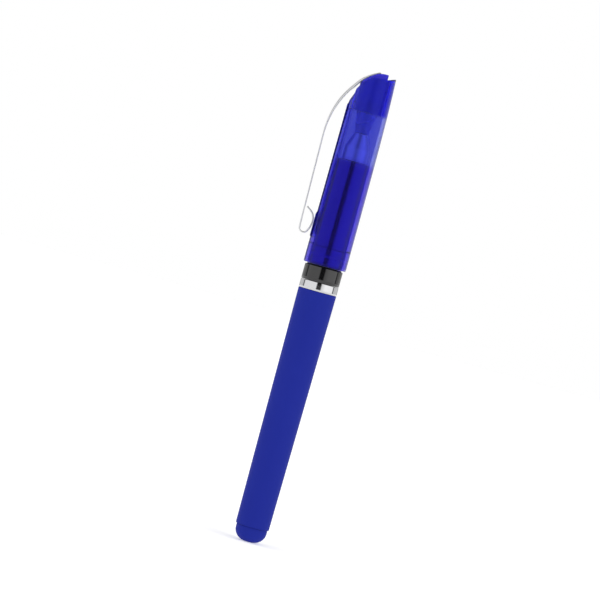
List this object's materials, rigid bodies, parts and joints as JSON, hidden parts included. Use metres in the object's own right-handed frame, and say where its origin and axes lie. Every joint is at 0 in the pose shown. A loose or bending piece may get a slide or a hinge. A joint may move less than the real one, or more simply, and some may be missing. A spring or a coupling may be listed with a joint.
{
  "type": "capped gel pen",
  "caption": "Capped gel ink pen with a tapering barrel, screw-in front section, pull-off translucent cap and a looped spring clip.",
  "frame": {"origin": "centre of the small flat on the tail's end", "axes": "+Z along the pen from tail to cap; the clip is on the -X side; Y runs across the clip's width"},
  "size_m": [0.0178, 0.0132, 0.1461],
  "materials": {
    "barrel_blue": "soft matte, even blue",
    "ring_chrome": "polished plating",
    "bushing_black": "moulded, hidden in the barrel",
    "refill_clear": "clear extruded tube",
    "ink_blue": "gel ink column",
    "follower_grease": "pale grease follower",
    "holder_white": "moulded, pale",
    "tip_steel": "turned steel",
    "grip_black": "glossy black",
    "cap_blue": "translucent, glossy",
    "plug_blue": "translucent, deeper where it is solid",
    "clip_steel": "bright spring strip"
  },
  "bodies": {
    "barrel": {"barrel_tube": "barrel_blue", "end_plug": "barrel_blue", "trim_ring": "ring_chrome", "thread_bushing": "bushing_black"},
    "refill": {"refill_tube": "refill_clear", "gel_ink": "ink_blue", "ink_follower": "follower_grease", "nib_holder": "holder_white", "tip_cone": "tip_steel"},
    "ball": {"writing_ball": "tip_steel"},
    "section": {"grip_section": "grip_black", "nose_cone": "ring_chrome"},
    "cap": {"cap_shell": "cap_blue", "cap_plug": "plug_blue", "inner_cap": "cap_blue", "clip_root": "clip_steel"},
    "clip": {"clip_arm": "clip_steel"}
  },
  "joints": [
    {"name": "refill_slide", "type": "slide", "parent": "barrel", "child": "refill", "axis": [0, 0, 1], "range_m": [0, 0.00641]},
    {"name": "section_turn", "type": "hinge", "parent": "refill", "child": "section", "pos_m": [0, 0, 0.0807], "axis": [0, 0, 1], "range_deg": [0, 1440]},
    {"name": "cap_slide", "type": "slide", "parent": "section", "child": "cap", "axis": [0, 0, 1], "range_m": [0, 0.055]},
    {"name": "clip_flex", "type": "hinge", "parent": "cap", "child": "clip", "pos_m": [-0.00476, 0, 0.14223], "axis": [0, 1, 0], "range_deg": [0, 6], "stiffness_Nm_per_rad": 1.5},
    {"name": "ball_roll", "type": "hinge", "parent": "refill", "child": "ball", "pos_m": [0, 0, 0.13105], "axis": [1, 0, 0], "continuous": true}
  ],
  "couplings": [
    {"joint": "refill_slide", "follows": "section_turn", "m_per_rad": 0.00025465}
  ]
}
